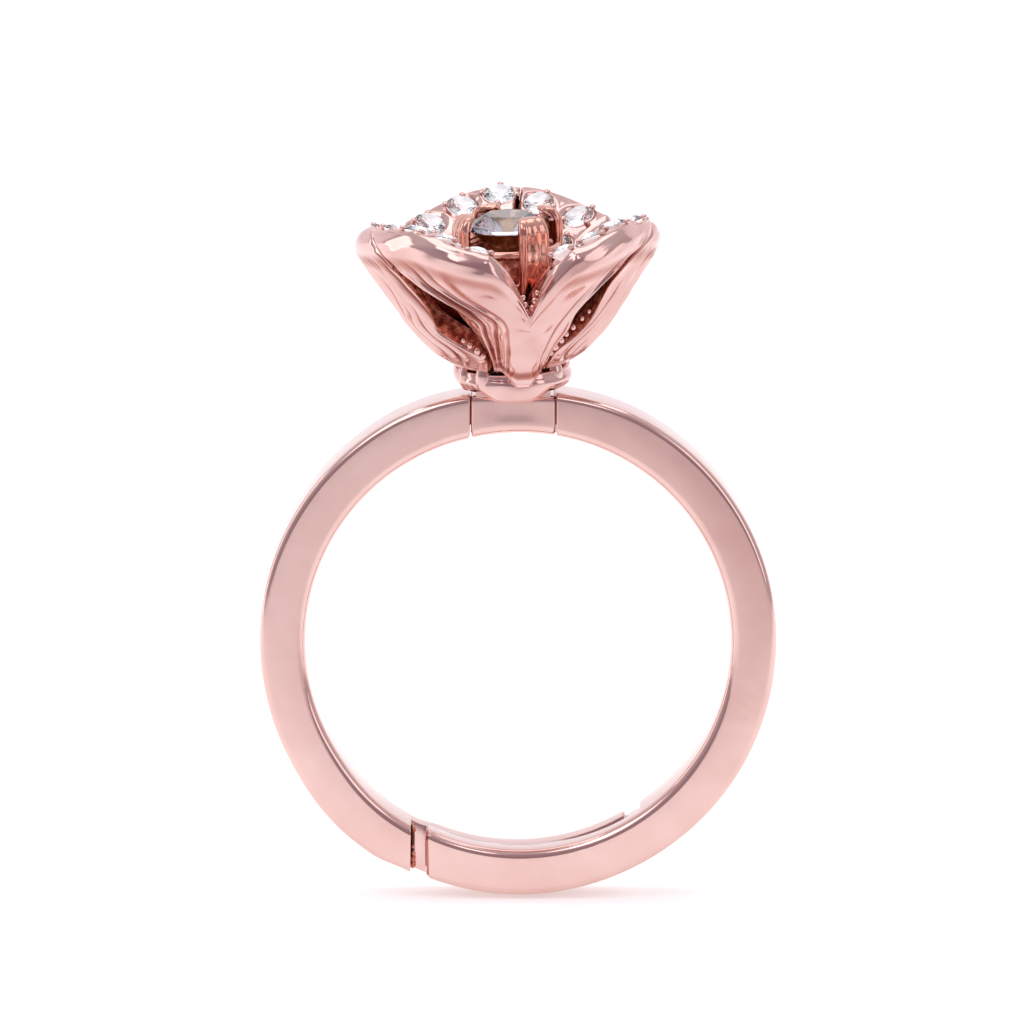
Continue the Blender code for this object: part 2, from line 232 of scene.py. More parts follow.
def noise(tree, scale, detail, coords, distortion=0.0):
    node = tree.nodes.new("ShaderNodeTexNoise")
    node.inputs["Scale"].default_value = scale
    node.inputs["Detail"].default_value = detail
    node.inputs["Distortion"].default_value = distortion
    tree.links.new(coords, node.inputs["Vector"])
    return node


def ramp(tree, fac, stops):
    node = tree.nodes.new("ShaderNodeValToRGB")
    node.color_ramp.elements[0].position = stops[0][0]
    node.color_ramp.elements[0].color = stops[0][1]
    node.color_ramp.elements[1].position = stops[-1][0]
    node.color_ramp.elements[1].color = stops[-1][1]
    for position, colour in stops[1:-1]:
        node.color_ramp.elements.new(position).color = colour
    tree.links.new(fac, node.inputs["Fac"])
    return node


def remap(tree, value, low, high, to_low, to_high):
    node = tree.nodes.new("ShaderNodeMapRange")
    node.inputs["From Min"].default_value = low
    node.inputs["From Max"].default_value = high
    node.inputs["To Min"].default_value = to_low
    node.inputs["To Max"].default_value = to_high
    tree.links.new(value, node.inputs["Value"])
    return node.outputs["Result"]


def multiply(tree, a, b):
    node = tree.nodes.new("ShaderNodeMix")
    node.data_type = "RGBA"
    node.blend_type = "MULTIPLY"
    node.inputs["Factor"].default_value = 1.0
    tree.links.new(a, node.inputs[MIX_A])
    tree.links.new(b, node.inputs[MIX_B])
    return node.outputs[MIX_RESULT]


def plated_metal(name, light, deep, rough_low, rough_high, ripple, scratch, shade_creases=False):
    """Polished rose plating: slow tint drift, soft cast ripples, fine polishing lines."""
    mat, tree, shader = nodes_of(name)
    shader.inputs["Metallic"].default_value = 1.0
    coords = tree.nodes.new("ShaderNodeTexCoord").outputs["Object"]
    tint = noise(tree, TINT_SCALE, 3.0, coords, 0.4)
    colour = ramp(tree, tint.outputs["Fac"], [(0.32, deep), (0.62, light)]).outputs["Color"]
    if shade_creases:
        # Painted shade: the colour darkens in the bottoms of the creases and under the rolled rim,
        # where shade falls.
        depth = tree.nodes.new("ShaderNodeAttribute")
        depth.attribute_name = "painted_crease_shade"
        crease_shade_ramp = ramp(tree, depth.outputs["Fac"], [
            (0.15, WHITE), (0.55, (0.66, 0.46, 0.42, 1)), (1.0, (0.36, 0.16, 0.12, 1))])
        colour = multiply(tree, colour, crease_shade_ramp.outputs["Color"])
    tree.links.new(colour, shader.inputs["Base Color"])
    grain = noise(tree, GRAIN_SCALE, 4.0, coords)
    rough = remap(tree, grain.outputs["Fac"], 0.3, 0.7, rough_low, rough_high)
    tree.links.new(rough, shader.inputs["Roughness"])
    waves = noise(tree, RIPPLE_SCALE, 2.0, coords, 0.6)
    soft = tree.nodes.new("ShaderNodeBump")
    soft.inputs["Strength"].default_value = ripple
    soft.inputs["Distance"].default_value = RIPPLE_DEPTH
    tree.links.new(waves.outputs["Fac"], soft.inputs["Height"])
    stretch = tree.nodes.new("ShaderNodeMapping")
    stretch.inputs["Scale"].default_value = LINE_STRETCH
    tree.links.new(coords, stretch.inputs["Vector"])
    lines = noise(tree, LINE_SCALE, 3.0, stretch.outputs["Vector"])
    fine = tree.nodes.new("ShaderNodeBump")
    fine.inputs["Strength"].default_value = scratch
    fine.inputs["Distance"].default_value = LINE_DEPTH
    tree.links.new(lines.outputs["Fac"], fine.inputs["Height"])
    tree.links.new(soft.outputs["Normal"], fine.inputs["Normal"])
    tree.links.new(fine.outputs["Normal"], shader.inputs["Normal"])
    return mat


def crystal_glass(name, colour, ior):
    """Clear or tinted glass with a faint haze."""
    mat, tree, shader = nodes_of(name)
    coords = tree.nodes.new("ShaderNodeTexCoord").outputs["Object"]
    haze = noise(tree, 900.0, 2.0, coords)
    r, g, b = colour
    stops = [(0.3, (r * 0.96, g * 0.96, b * 0.97, 1.0)), (0.7, (*colour, 1.0))]
    tint = ramp(tree, haze.outputs["Fac"], stops)
    tree.links.new(tint.outputs["Color"], shader.inputs["Base Color"])
    shader.inputs["Roughness"].default_value = 0.0
    shader.inputs["IOR"].default_value = ior
    shader.inputs["Transmission Weight"].default_value = 1.0
    return mat


def foil(name, colour, roughness, self_glow=0.0):
    """Flecked foil behind a stone; the last argument sets how strongly it shines by itself, a
    painted light that brightens the stone above it.
    """
    mat, tree, shader = nodes_of(name)
    coords = tree.nodes.new("ShaderNodeTexCoord").outputs["Object"]
    fleck = noise(tree, 2600.0, 3.0, coords)
    dim = tuple(c * 0.82 for c in colour)
    tint = ramp(tree, fleck.outputs["Fac"], [(0.35, (*dim, 1.0)), (0.6, (*colour, 1.0))])
    tree.links.new(tint.outputs["Color"], shader.inputs["Base Color"])
    tree.links.new(tint.outputs["Color"], shader.inputs["Emission Color"])
    shader.inputs["Emission Strength"].default_value = self_glow
    shader.inputs["Metallic"].default_value = 1.0
    shader.inputs["Roughness"].default_value = roughness
    return mat


def dull_metal(name, stops, roughness, scale, metallic):
    """Dull metal with specks of another tone."""
    mat, tree, shader = nodes_of(name)
    coords = tree.nodes.new("ShaderNodeTexCoord").outputs["Object"]
    speck = noise(tree, scale, 4.0, coords, 0.3)
    tint = ramp(tree, speck.outputs["Fac"], stops)
    tree.links.new(tint.outputs["Color"], shader.inputs["Base Color"])
    shader.inputs["Metallic"].default_value = metallic
    shader.inputs["Roughness"].default_value = roughness
    bump = tree.nodes.new("ShaderNodeBump")
    bump.inputs["Strength"].default_value = 0.8
    bump.inputs["Distance"].default_value = SPECK_DEPTH
    tree.links.new(speck.outputs["Fac"], bump.inputs["Height"])
    tree.links.new(bump.outputs["Normal"], shader.inputs["Normal"])
    return mat


BAND_METAL = plated_metal(
    "rose_plating_band", (0.82, 0.57, 0.52, 1), (0.77, 0.51, 0.46, 1),
    rough_low=0.08, rough_high=0.15, ripple=0.25, scratch=0.10)
PETAL_METAL = plated_metal(
    "rose_plating_petal", (0.79, 0.53, 0.49, 1), (0.68, 0.41, 0.37, 1),
    rough_low=0.09, rough_high=0.18, ripple=0.75, scratch=0.12, shade_creases=True)
# The claws' plating is a darker, redder copy of the rose plating: painted shade and painted reddish
# reflection.
CLAW_PAINTED_SHADE_METAL = plated_metal(
    "rose_plating_claw_painted_shade", (0.80, 0.44, 0.36, 1), (0.66, 0.30, 0.23, 1),
    rough_low=0.07, rough_high=0.14, ripple=0.35, scratch=0.08)
# Painted shade: dark red metal for the ribs in the seams and the line in the lap gap, where shade
# falls.
GAP_SHADE_METAL = dull_metal(
    "gap_painted_shade", [(0.35, (0.30, 0.07, 0.05, 1)), (0.65, (0.56, 0.19, 0.15, 1))],
    roughness=0.45, scale=2400.0, metallic=0.3)
# Painted shade and painted reddish reflections: dark red to pale pink, for the specks in the lap
# gap.
LAP_SPECK_SHADE = dull_metal(
    "lap_speck_painted_shade",
    [(0.38, (0.62, 0.14, 0.08, 1)), (0.55, (0.90, 0.30, 0.19, 1)), (0.68, (0.98, 0.62, 0.52, 1))],
    roughness=0.32, scale=2600.0, metallic=0.2)
# Painted shade and painted reddish reflections: dark red-brown flecked with orange and pale pink,
# for the petals' cut sides and the cup lining.
SHADE_ROUGH_METAL = dull_metal(
    "rough_metal_painted_shade",
    [(0.36, (0.24, 0.05, 0.035, 1)), (0.50, (0.60, 0.18, 0.11, 1)), (0.60, (0.92, 0.42, 0.28, 1)),
     (0.70, (0.98, 0.72, 0.64, 1))],
    roughness=0.30, scale=3600.0, metallic=0.45)
CLEAR = crystal_glass("clear_crystal", (1.0, 1.0, 1.0), ior=1.62)
CENTER = crystal_glass("center_crystal", (0.70, 0.67, 0.76), ior=1.60)
# The silver foil shines by itself: painted light that brightens the small stones.
SILVER_FOIL = foil("silver_foil", (0.98, 0.98, 1.0), roughness=0.42, self_glow=0.5)
GOLD_FOIL = foil("gold_foil", (0.62, 0.42, 0.20), roughness=0.16)


# ---------------------------------------------------------------- shank

# A distance that is beyond the ring on any side.
FAR = 20.0
# Room in each arm's end face for the seam ribs.
RECESS_HALF_W = 1.05
RECESS_Z = (8.85, 9.95)
# Ribs in each seam: reach into the arm, half width, bottom and top.
SEAM_RIBS = ((0.13, 0.96, 8.95, 9.86), (0.035, 1.44, 8.70, 10.08))
# Specks beside the lap: x, distance from the bore's centre and size.
LAP_SPECKS = (
    (-4.15, 10.30, 0.12), (-4.12, 10.18, 0.10), (-4.16, 10.06, 0.12), (-4.11, 9.96, 0.08),
    (-4.14, 9.84, 0.10), (-4.16, 9.60, 0.08), (-4.11, 8.95, 0.08), (-4.15, 8.86, 0.08),
)
LAP_SPECK_Y = -0.78


def band_section(r_in, r_out, half_w, corner_out, corner_in, per_corner, per_side=0):
    """Outline of the band as (radius, y), with rounded corners."""
    points = []
    corners = (
        (r_out, half_w, corner_out, 0.0, -1, -1),
        (r_in, half_w, corner_in, 90.0, 1, -1),
        (r_in, -half_w, corner_in, 180.0, 1, 1),
        (r_out, -half_w, corner_out, 270.0, -1, 1),
    )
    for r, y, c, start, sr, sy in corners:
        for k in range(per_corner + 1):
            a = math.radians(start + 90.0 * k / per_corner)
            points.append((r + sr * c + c * math.cos(a), y + sy * c + c * math.sin(a)))
    if per_side:
        dense = []
        for (r0, y0), (r1, y1) in zip(points, points[1:] + points[:1]):
            split = per_side if math.hypot(r1 - r0, y1 - y0) > 0.3 else 1
            for k in range(split):
                dense.append((r0 + (r1 - r0) * k / split, y0 + (y1 - y0) * k / split))
        return dense
    return points


def band_radii(deg, bulge):
    """Inner and outer radius at an angle: thinner beside the head, out by bulge before the lap."""
    from_head = abs(deg - 90.0)
    near_head = float(smoothstep(4.0, 32.0, from_head))
    past_lap = smoothstep(149.5, 157.0, from_head)
    opened = bulge * float(smoothstep(118.0, 144.0, from_head) - past_lap)
    worn = 0.012 * math.sin(math.radians(deg * 3.0 + 40.0))
    worn += 0.008 * math.sin(math.radians(deg * 7.0))
    return BORE_R + opened, BAND_R - 0.12 * (1.0 - near_head) + opened + worn * 0.6


def side_angle(x, r, bottom):
    """Angle at which a circle of radius r crosses the upright plane at x."""
    a = math.degrees(math.acos(max(-1.0, min(1.0, x / r))))
    return -a if bottom else a


def band_body(top_x, end_x, turn, steps, bulge, round_top, round_end):
    """Rounded band between two upright planes; turn is -1 clockwise or 1 the other way."""
    per_corner = 8
    eased = []
    for along, radius in ((0.0, round_top), (1.0, round_end)):
        for k in range(6):
            a = math.pi / 2 * k / 5
            share = abs(along - radius * (1 - math.cos(a)) / ARM_LENGTH)
            eased.append((share, radius * (1 - math.sin(a))))
    stations = sorted(eased + [((i + 0.5) / steps, 0.0) for i in range(steps)])
    rows = []
    for s, inset in stations:
        middle_start = side_angle(top_x, BAND_MIDDLE_R, False)
        middle_end = side_angle(end_x, BAND_MIDDLE_R, True)
        if turn > 0:
            middle_end += 360.0
        deg = middle_start + (middle_end - middle_start) * s
        r_in, r_out = band_radii(deg, bulge)
        section = band_section(
            r_in + inset, r_out - inset, BAND_HALF_W - inset, 0.30, 0.36, per_corner)
        row = []
        for r, y in section:
            start = side_angle(top_x, r, False)
            end = side_angle(end_x, r, True) + (360.0 if turn > 0 else 0.0)
            a = math.radians(start + (end - start) * s)
            row.append((r * math.cos(a), y, r * math.sin(a)))
        rows.append(row)
    return np.array(rows)


def block(low, high):
    spans = list(zip(low, high))
    corners = [(x, y, z) for x in spans[0] for y in spans[1] for z in spans[2]]
    sides = [(0, 1, 3, 2), (4, 6, 7, 5), (0, 4, 5, 1), (2, 3, 7, 6), (0, 2, 6, 4), (1, 5, 7, 3)]
    return np.array(corners), sides


def turn_arm(mesh, hinge_x, degrees):
    """Turns a mesh about the hinge line that runs along Y."""
    spot = Matrix.Translation((hinge_x * MM, 0.0, HINGE_Z * MM))
    mesh.transform(spot @ Matrix.Rotation(math.radians(degrees), 4, "Y") @ spot.inverted())


def make_arm(name, node, body, top_x, shoulder_x, tip_x, turn, tongue_side, bulge, splay):
    """One arm: full-width shank to its shoulder, then half its width runs on to the tip."""
    steps = 320
    rows = band_body(top_x, tip_x, turn, steps, bulge, 0.05, 0.22)
    faces = ring_faces(rows.shape[0], rows.shape[1])
    arm = add_mesh(name, rows.reshape(-1, 3), faces, BAND_METAL, None)
    y_low, y_high = (-FAR, LAP_HALF_GAP) if tongue_side > 0 else (-LAP_HALF_GAP, FAR)
    x_low, x_high = (shoulder_x, FAR) if turn > 0 else (-FAR, shoulder_x)
    verts, faces = block((x_low, y_low, -FAR), (x_high, y_high, 0.0))
    cutter = add_mesh(name + "_cut", verts, faces, BAND_METAL, None)
    # A recess in the end face takes the head's seam ribs, so no light passes the seam.
    ends = sorted((top_x - 0.14 * turn, top_x + 0.20 * turn))
    verts, faces = block(
        (ends[0], -RECESS_HALF_W, RECESS_Z[0]), (ends[1], RECESS_HALF_W, RECESS_Z[1]))
    recess = add_mesh(name + "_recess", verts, faces, BAND_METAL, None)
    for label, tool in (("lap", cutter), ("recess", recess)):
        cut = arm.modifiers.new(label, "BOOLEAN")
        cut.object = tool
        cut.solver = "EXACT"
    ease = arm.modifiers.new("ease", "BEVEL")
    ease.width = 0.07 * MM
    ease.segments = 3
    ease.limit_method = "ANGLE"
    ease.angle_limit = math.radians(50.0)
    graph = bpy.context.evaluated_depsgraph_get()
    made = bpy.data.meshes.new_from_object(arm.evaluated_get(graph))
    arm.modifiers.clear()
    arm.data = made
    bpy.data.objects.remove(cutter)
    bpy.data.objects.remove(recess)
    turn_arm(made, SEAM_LEFT_X if turn > 0 else SEAM_RIGHT_X, splay)
    made.shade_smooth()
    made.set_sharp_from_angle(angle=math.radians(38.0))
    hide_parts(node)
    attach(arm, body)


def make_lap_fill():
    """Painted shade in the lap gap: a dark line and rough red specks beside the left arm's shoulder,
    on its tongue.
    """
    across, up = 12, 60
    rows = []
    for i in range(up + 1):
        row = []
        for k in range(across + 1):
            x = LAP_LEFT_X - 0.04 + 0.20 * k / across
            r = BORE_R + 0.16 + (BAND_R - 0.10 - BORE_R - 0.16) * i / up  # clear of both edges
            edge = math.sin(math.pi * k / across)
            rough = 0.5 + 0.5 * math.sin(78.6 * i / up + 2.3 * k)
            row.append((x, -(0.02 + 0.75 * edge + 0.20 * rough * edge), -math.sqrt(r * r - x * x)))
        rows.append(row + [(x, 0.30, z) for x, _, z in row[::-1]])
    verts = np.array(rows)
    faces = ring_faces(up + 1, verts.shape[1])
    line = add_mesh("lap_gap_shade_line", verts.reshape(-1, 3), faces, GAP_SHADE_METAL, 30.0)
    pile = Pile()
    for x, r, size in LAP_SPECKS:
        pile.add_bead(Matrix.Translation((x, LAP_SPECK_Y, -math.sqrt(r * r - x * x))), size)
    specks = add_mesh("lap_specks", pile.verts, pile.faces, LAP_SPECK_SHADE, 50.0)
    for piece in (line, specks):
        turn_arm(piece.data, SEAM_LEFT_X, LEFT_SPLAY_DEG)
        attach(piece, "left_arm")


def make_shank():
    make_arm("left_arm_plated", "shank_left_arm", "left_arm", SEAM_LEFT_X - SEAM_GAP,
             LAP_LEFT_X, LAP_RIGHT_TIP_X, 1, 1, 0.13, LEFT_SPLAY_DEG)
    make_arm("right_arm_plated", "shank_right_arm", "right_arm", SEAM_RIGHT_X + SEAM_GAP,
             LAP_RIGHT_X, LAP_LEFT_TIP_X, -1, -1, 0.0, 0.0)
    rows = []
    steps = 60
    for i in range(steps + 1):
        t = i / steps
        x = SEAM_LEFT_X + (SEAM_RIGHT_X - SEAM_LEFT_X) * t
        from_end = min(t, 1 - t) * (SEAM_RIGHT_X - SEAM_LEFT_X)
        inset = 0.05 * (1.0 - math.sqrt(max(0.0, 1.0 - (1.0 - min(from_end / 0.05, 1.0)) ** 2)))
        z_in = math.sqrt(BORE_R**2 - x * x)
        section = band_section(
            z_in + inset, BRIDGE_TOP_Z - inset, BAND_HALF_W - inset, 0.22, 0.40, 8, 9)
        rows.append([(x, y, r) for r, y in section])
    verts = np.array(rows).reshape(-1, 3)
    # The front and rear faces are dished a little across.
    x, y, z = verts.T
    dish = smoothstep(-1.90, -0.60, x) * (1.0 - smoothstep(0.10, 1.40, x))
    verts[:, 1] -= np.sign(y) * 0.025 * dish * smoothstep(8.9, 9.6, z) * (np.abs(y) > 1.2)
    bridge = add_mesh("bridge_plated", verts, ring_faces(steps + 1, len(rows[0])), BAND_METAL, 40.0)
    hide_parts("head_bridge")
    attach(bridge, "head")
    # Dull ribs stand across each seam into the arms; their dark colour is painted shade, so the
    # seams read as dark lines.
    pile = Pile()
    for x, out in ((SEAM_LEFT_X, -1.0), (SEAM_RIGHT_X, 1.0)):
        for reach, half_y, low, high in SEAM_RIBS:
            ends = sorted((x - 0.10 * out, x + reach * out))
            pile.add(*block((ends[0], -half_y, low), (ends[1], half_y, high)))
    ribs = add_mesh("seam_ribs", pile.verts, pile.faces, GAP_SHADE_METAL, None)
    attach(ribs, "head")


# ---------------------------------------------------------------- petals

# Sections as (radius, height above the flower origin), base to rim.
UNDERSIDE = (
    (2.05, 0.40), (2.15, 0.40), (2.32, 0.45), (2.72, 0.70), (3.38, 1.28), (4.25, 2.32),
    (4.85, 3.10), (5.45, 3.92), (6.04, 4.56), (6.06, 5.06), (5.94, 5.48),
)
DECK = (
    (1.25, 0.45), (1.32, 0.85), (1.50, 1.55), (1.85, 2.40), (2.30, 3.20), (2.75, 3.85),
    (3.45, 4.55), (4.25, 5.10), (5.00, 5.48), (5.42, 5.63), (5.70, 5.68),
)
UNDERSIDE_NOTCH = (
    (2.05, 0.40), (2.15, 0.40), (2.32, 0.45), (2.72, 0.70), (3.38, 1.28), (4.10, 2.12),
    (4.45, 2.56), (4.62, 2.76), (4.72, 2.88), (4.79, 2.99), (4.79, 3.13),
)
DECK_NOTCH = (
    (1.25, 0.45), (1.32, 0.85), (1.50, 1.45), (1.75, 2.00), (2.10, 2.45), (2.50, 2.82),
    (2.90, 3.05), (3.40, 3.20), (3.90, 3.28), (4.30, 3.29), (4.60, 3.24),
)
KEEL = ((2.42, 0.30), (2.54, 0.00), (2.78, -0.08), (3.04, 0.22), (3.52, 1.10), (4.28, 2.29))
# Reach to either side of the axis, in degrees, base to rim.
PETAL_EDGES = {
    "front": (
        (30, 30, 28, 26, 24.6, 25.7, 30, 58, 68, 75, 80),
        (23.5, 23.5, 21.5, 18, 16.6, 22, 25.7, 36.5, 50.5, 62.5, 70),
    ),
    "back_left": (
        (57, 57, 57, 57, 57, 57, 57.5, 58, 60, 63, 63.8),
        (99, 99, 102, 105, 106, 84, 82, 73.2, 63.2, 56.2, 51.2),
    ),
    "back_right": (
        (86.5, 86.5, 88.5, 91.5, 92.8, 82, 77, 73.2, 59.2, 48.2, 41.2),
        (57, 57, 57, 57, 57, 57, 56.5, 56, 54, 52, 51.8),
    ),
}
# Places along a petal's loop, in sections: the underside's end and the deck's start.
UNDERSIDE_END = 10.4
DECK_START = 10.5
FOLD_GAIN = 1.45
SEAT_DEPTH = 0.40
SEAT_LIP = 0.045
NOTCH_HALF_DEG = {"front": 18.0, "back_left": 12.0, "back_right": 12.0}
KEEL_WEIGHT = {"front": 1.0, "back_left": 0.2, "back_right": 0.2}


def mix(a, b, t):
    return a + (b - a) * t


def flower_spot(angle, r, z):
    """Place on the flower at an angle in degrees, a radius and a height."""
    a = math.radians(angle)
    return FLOWER @ Matrix.Translation((r * math.cos(a), r * math.sin(a), z))


def petal_edge(name, side, k, is_deck):
    """Reach of section k to one side, in degrees; the deck's nears the rim's above its foot."""
    edges = PETAL_EDGES[name][0 if side < 0.0 else 1]
    if not is_deck:
        return edges[k]
    return mix(edges[k], edges[-1], float(smoothstep(2.0, 6.0, k)))


def petal_lift(angles):
    """Lift of the rim, and swing of its lobes, at angles round the flower."""
    away = [np.abs((angles - axis + 180.0) % 360.0 - 180.0) for axis in PETAL_AXES_DEG.values()]
    off = np.minimum.reduce(away)
    s = np.sin(np.radians(angles))
    seam = 0.80 + 0.12 * np.maximum(0.0, s)
    lift = mix(-0.05, seam, smoothstep(10.0, 53.0, off)) + 0.30 * smoothstep(0.25, 0.75, -s)
    lobe = 0.024 * np.cos(np.radians((np.minimum(off, 60.0) - 30.0) * 6.0))
    return lift, lobe


def petal_rows(name, sides):
    """Arrays (sides, 11, 3) of radius, height and signed angle for the underside and the deck."""
    sheets = []
    for sheet, notched in ((UNDERSIDE, UNDERSIDE_NOTCH), (DECK, DECK_NOTCH)):
        is_deck = sheet is DECK
        out = np.zeros((len(sides), len(sheet), 3))
        for k, (r0, z0) in enumerate(sheet):
            low = petal_edge(name, -1.0, k, is_deck)
            high_edge = petal_edge(name, 1.0, k, is_deck)
            psi = np.abs(sides) * np.where(sides < 0.0, low, high_edge)
            signed = np.sign(sides) * psi
            lift, lobe = petal_lift(PETAL_AXES_DEG[name] + signed)
            notch = np.clip(1.0 - psi / NOTCH_HALF_DEG[name], 0.0, 1.0) ** 1.6
            keel = KEEL_WEIGHT[name] * (1.0 - smoothstep(4.0, 21.0, psi))
            high = float(smoothstep(2.0, 5.4, z0))
            r = np.full(len(sides), r0)
            z = np.full(len(sides), z0)
            if not is_deck and k < len(KEEL):
                r = mix(r, KEEL[k][0], keel)
                z = mix(z, KEEL[k][1], keel)
                high = smoothstep(2.0, 5.4, z)
            r = r * (1.0 + lobe * high)
            z = z + lift * high
            if k > 5 or is_deck:
                r = mix(r, notched[k][0], notch)
                z = mix(z, notched[k][1], notch)
            out[:, k] = np.stack([r, z, signed], axis=1)
        sheets.append(out)
    return sheets


def pave_seats(name):
    """Number, stone radius, distance from the flower axis and angle of each small stone."""
    return [(str(i + 1), *seat) for i, seat in enumerate(PAVE_SEATS[name])]


def deck_point(name, radius, psi):
    reach = petal_edge(name, psi, len(DECK) - 1, True)
    deck = petal_rows(name, np.array([psi / reach]))[1][0]
    for (r0, z0, _), (r1, z1, _) in zip(deck, deck[1:]):
        if r0 <= radius <= r1:
            t = (radius - r0) / (r1 - r0)
            return mix(z0, z1, t), math.atan2(z1 - z0, r1 - r0)
    return deck[-1][1], 0.0


def stone_matrix(name, radius, psi, lift=0.0):
    z, slope = deck_point(name, radius, psi)
    a = math.radians(PETAL_AXES_DEG[name] + psi)
    spot = Matrix.Translation((radius * math.cos(a), radius * math.sin(a), z))
    return (
        FLOWER @ spot @ Matrix.Rotation(a, 4, "Z") @ Matrix.Rotation(-slope, 4, "Y")
        @ Matrix.Translation((0.0, 0.0, lift))
    )


def petal_relief(kf, w, psi, folds_of):
    """Relief (rolled rim, creases down to the base) and how deep each point lies in a crease, a keel
    ring or the groove under the rim, which sets its painted shade.
    """
    rim = 0.050 * np.exp(-(((kf - 9.2) / 0.55) ** 2))
    rim -= 0.110 * np.exp(-(((kf - 7.9) / 0.45) ** 2))
    rim *= smoothstep(4.0, 16.0, np.abs(psi))
    folds = np.zeros_like(kf)
    body = smoothstep(2.6, 4.0, kf) * (1.0 - smoothstep(7.0, 8.4, kf))
    for centre, width, depth in folds_of:
        drift = centre + 0.05 * np.sin(kf * 1.3 + centre * 9.0)
        line = (w - drift) / width
        folds += depth * (np.exp(-(line**2)) - 0.8 * np.exp(-((line - 1.7) ** 2)))
    keel_rings = 0.030 * np.sin((kf - 2.4) * 5.2) * smoothstep(2.3, 2.8, kf)
    keel_rings *= 1.0 - smoothstep(3.9, 4.6, kf)
    keel_rings *= 1.0 - smoothstep(16.0, 30.0, np.abs(psi))
    waves = 0.022 * np.sin(kf * 2.1 + psi * 0.11) * np.sin(psi * 0.23 + kf * 0.7)
    waves += 0.012 * np.sin(kf * 5.3 - psi * 0.31)
    waves *= smoothstep(3.0, 5.0, kf)
    # Painted shade: the deeper a point lies in a crease, a keel ring or the rim's groove, the darker
    # its colour.
    crease_shade_amount = np.clip(-folds * body / 0.055, 0.0, 1.0) + np.clip(-keel_rings / 0.035, 0.0, 1.0)
    crease_shade_amount += 0.5 * np.clip(-rim / 0.11, 0.0, 1.0)
    return rim + FOLD_GAIN * folds * body + keel_rings + waves, crease_shade_amount


# Creases as (place across the petal from -1 to 1, width, depth).
FOLDS = {
    "front": (
        (-0.90, 0.035, 0.075), (-0.74, 0.040, 0.065), (-0.56, 0.045, 0.045),
        (0.60, 0.045, 0.045), (0.78, 0.040, 0.065), (0.92, 0.035, 0.070),
    ),
    "back_left": (
        (0.90, 0.028, 0.070), (0.82, 0.018, 0.050), (0.74, 0.028, 0.070), (0.66, 0.018, 0.050),
        (0.58, 0.030, 0.065), (0.50, 0.018, 0.045), (0.42, 0.030, 0.050), (-0.42, 0.028, 0.022),
        (-0.60, 0.030, 0.026), (-0.78, 0.028, 0.028),
    ),
    "back_right": (
        (-0.90, 0.028, 0.075), (-0.82, 0.018, 0.055), (-0.74, 0.028, 0.070),
        (-0.66, 0.018, 0.055), (-0.58, 0.030, 0.070), (-0.50, 0.018, 0.050),
        (-0.42, 0.030, 0.055), (0.42, 0.028, 0.022), (0.60, 0.030, 0.026), (0.78, 0.028, 0.028),
    ),
}


